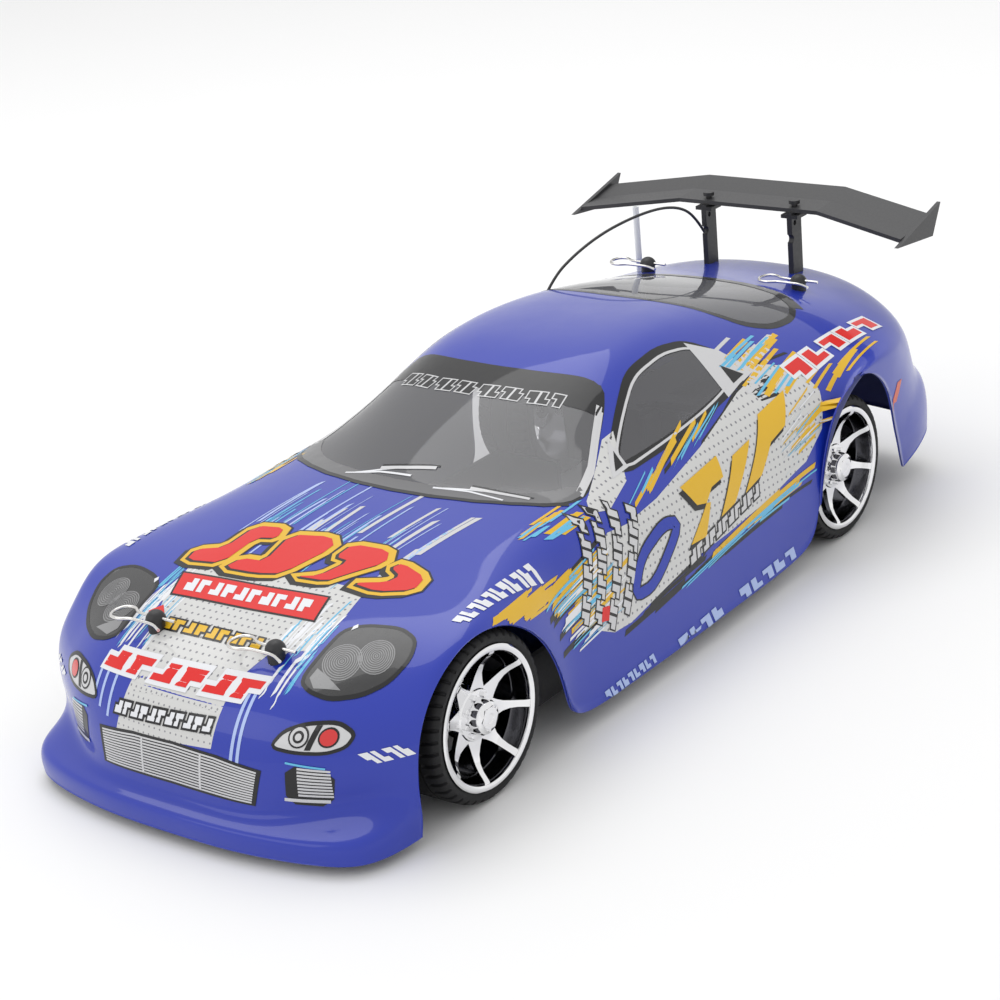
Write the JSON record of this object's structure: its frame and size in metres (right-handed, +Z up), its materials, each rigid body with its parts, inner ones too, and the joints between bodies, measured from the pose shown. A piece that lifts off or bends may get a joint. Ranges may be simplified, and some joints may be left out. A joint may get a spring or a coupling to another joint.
{
  "type": "remote control car",
  "caption": "Tenth-scale remote control car: glossy clip-on body shell with a rear wing over a tub chassis with steered front wheels, geared rear axle, battery bay and aerial.",
  "frame": {"origin": "centre of the bounding box footprint on the ground, under the middle of the car", "axes": "+X to the nose, +Y to the car's left, +Z up"},
  "size_m": [0.4378, 0.1862, 0.1258],
  "materials": {
    "shell_blue": "clear polycarbonate painted royal blue from the inside, high gloss",
    "black_plastic": "moulded black plastic, satin",
    "clear_plastic": "clear extruded tube",
    "black_wire": "insulated wire",
    "steel": "bright zinc-plated steel",
    "spring_steel": "bright drawn wire",
    "motor_can": "plated can",
    "soft_foam": "dense foam",
    "chrome_rim": "vacuum-plated plastic, mirror bright",
    "tyre_rubber": "black rubber, matt",
    "battery_wrap": "shrink wrap",
    "board_green": "solder mask"
  },
  "bodies": {
    "car": {"antenna_tube": "clear_plastic", "antenna_wire": "black_wire", "battery_pack": "battery_wrap", "body_shell": "shell_blue", "chassis_tub": "black_plastic", "circuit_board": "board_green", "front_beam": "black_plastic", "front_body_posts": "black_plastic", "front_bumper": "soft_foam", "front_top_plate": "black_plastic", "kingpins": "steel", "left_front_spring": "spring_steel", "left_rear_spring": "spring_steel", "power_switch": "black_plastic", "rear_body_posts": "black_plastic", "rear_deck_plate": "black_plastic", "rear_pivot_mount": "black_plastic", "rear_wing": "black_plastic", "receiver_box": "black_plastic", "receiver_cover": "black_plastic", "right_front_spring": "spring_steel", "right_rear_spring": "spring_steel", "roll_pivot_pin": "steel", "screws": "steel", "steering_servo": "black_plastic", "strap_hinge_pin": "steel", "wing_strut_left": "black_plastic", "wing_strut_right": "black_plastic"},
    "left_collar": {"left_spring_collar": "steel"},
    "right_collar": {"right_spring_collar": "steel"},
    "left_knuckle": {"left_steering_knuckle": "black_plastic", "left_front_wheel_nut": "steel"},
    "right_knuckle": {"right_steering_knuckle": "black_plastic", "right_front_wheel_nut": "steel"},
    "left_front_wheel": {"left_front_rim": "chrome_rim", "left_front_tyre": "tyre_rubber"},
    "right_front_wheel": {"right_front_rim": "chrome_rim", "right_front_tyre": "tyre_rubber"},
    "steering_bar": {"steering_link": "black_plastic"},
    "servo_horn": {"servo_arm": "black_plastic"},
    "gearbox": {"gearbox_case": "black_plastic", "gearbox_cover": "black_plastic", "axle_bearings": "steel", "idler_pin": "steel", "drive_motor": "motor_can"},
    "rear_wheels": {"rear_axle": "steel", "final_gear": "black_plastic", "left_rear_rim": "chrome_rim", "left_rear_tyre": "tyre_rubber", "right_rear_rim": "chrome_rim", "right_rear_tyre": "tyre_rubber", "rear_wheel_nuts": "steel"},
    "idler": {"idler_gear": "black_plastic"},
    "pinion": {"motor_pinion": "steel"},
    "strap": {"battery_strap": "black_plastic"},
    "switch_knob": {"switch_slider": "black_plastic"},
    "clip_front_left": {"front_left_body_clip": "spring_steel"},
    "clip_front_right": {"front_right_body_clip": "spring_steel"},
    "clip_rear_left": {"rear_left_body_clip": "spring_steel"},
    "clip_rear_right": {"rear_right_body_clip": "spring_steel"}
  },
  "joints": [
    {"name": "left_suspension", "type": "slide", "parent": "car", "child": "left_collar", "axis": [0, 0, 1], "range_m": [-0.002, 0.0012], "stiffness_N_per_m": 4000, "springref_m": -0.0006, "deforming": ["left_front_spring"]},
    {"name": "right_suspension", "type": "slide", "parent": "car", "child": "right_collar", "axis": [0, 0, 1], "range_m": [-0.002, 0.0012], "stiffness_N_per_m": 4000, "springref_m": -0.0006, "deforming": ["right_front_spring"]},
    {"name": "left_steering", "type": "hinge", "parent": "left_collar", "child": "left_knuckle", "pos_m": [0.14, 0.052, 0.0315], "axis": [0, 0, 1], "range_deg": [-18, 18]},
    {"name": "right_steering", "type": "hinge", "parent": "right_collar", "child": "right_knuckle", "pos_m": [0.14, -0.052, 0.0315], "axis": [0, 0, 1], "range_deg": [-18, 18]},
    {"name": "left_front_spin", "type": "hinge", "parent": "left_knuckle", "child": "left_front_wheel", "pos_m": [0.14, 0.073, 0.0315], "axis": [0, 1, 0], "continuous": true},
    {"name": "right_front_spin", "type": "hinge", "parent": "right_knuckle", "child": "right_front_wheel", "pos_m": [0.14, -0.073, 0.0315], "axis": [0, 1, 0], "continuous": true},
    {"name": "steering_shift", "type": "slide", "parent": "car", "child": "steering_bar", "axis": [0, 1, 0], "range_m": [-0.0058, 0.0058]},
    {"name": "servo_turn", "type": "hinge", "parent": "car", "child": "servo_horn", "pos_m": [0.1205, 0, 0.0195], "axis": [1, 0, 0], "range_deg": [-29, 29]},
    {"name": "rear_roll", "type": "hinge", "parent": "car", "child": "gearbox", "pos_m": [-0.085, 0, 0.0315], "axis": [1, 0, 0], "range_deg": [-2, 2], "stiffness_Nm_per_rad": 2.3},
    {"name": "rear_spin", "type": "hinge", "parent": "gearbox", "child": "rear_wheels", "pos_m": [-0.117, 0, 0.0315], "axis": [0, 1, 0], "continuous": true},
    {"name": "idler_spin", "type": "hinge", "parent": "gearbox", "child": "idler", "pos_m": [-0.13279, 0.0105, 0.03725], "axis": [0, 1, 0], "continuous": true},
    {"name": "pinion_spin", "type": "hinge", "parent": "gearbox", "child": "pinion", "pos_m": [-0.14728, 0.01, 0.04113], "axis": [0, 1, 0], "continuous": true},
    {"name": "strap_hinge", "type": "hinge", "parent": "car", "child": "strap", "pos_m": [0.0092, 0.06475, 0.031], "axis": [-1, 0, 0], "range_deg": [0, 60]},
    {"name": "switch_slide", "type": "slide", "parent": "car", "child": "switch_knob", "axis": [1, 0, 0], "range_m": [-0.0024, 0.0024]},
    {"name": "front_left_clip_pull", "type": "slide", "parent": "car", "child": "clip_front_left", "axis": [0, -1, 0], "range_m": [0, 0.014]},
    {"name": "front_right_clip_pull", "type": "slide", "parent": "car", "child": "clip_front_right", "axis": [0, -1, 0], "range_m": [0, 0.014]},
    {"name": "rear_left_clip_pull", "type": "slide", "parent": "car", "child": "clip_rear_left", "axis": [0, -1, 0], "range_m": [0, 0.014]},
    {"name": "rear_right_clip_pull", "type": "slide", "parent": "car", "child": "clip_rear_right", "axis": [0, -1, 0], "range_m": [0, 0.014]}
  ],
  "couplings": [
    {"joint": "right_steering", "follows": "left_steering", "ratio": 1},
    {"joint": "steering_shift", "follows": "left_steering", "m_per_rad": -0.0176},
    {"joint": "servo_turn", "follows": "left_steering", "ratio": 1.5},
    {"joint": "idler_spin", "follows": "rear_spin", "ratio": -3},
    {"joint": "pinion_spin", "follows": "rear_spin", "ratio": 12}
  ]
}
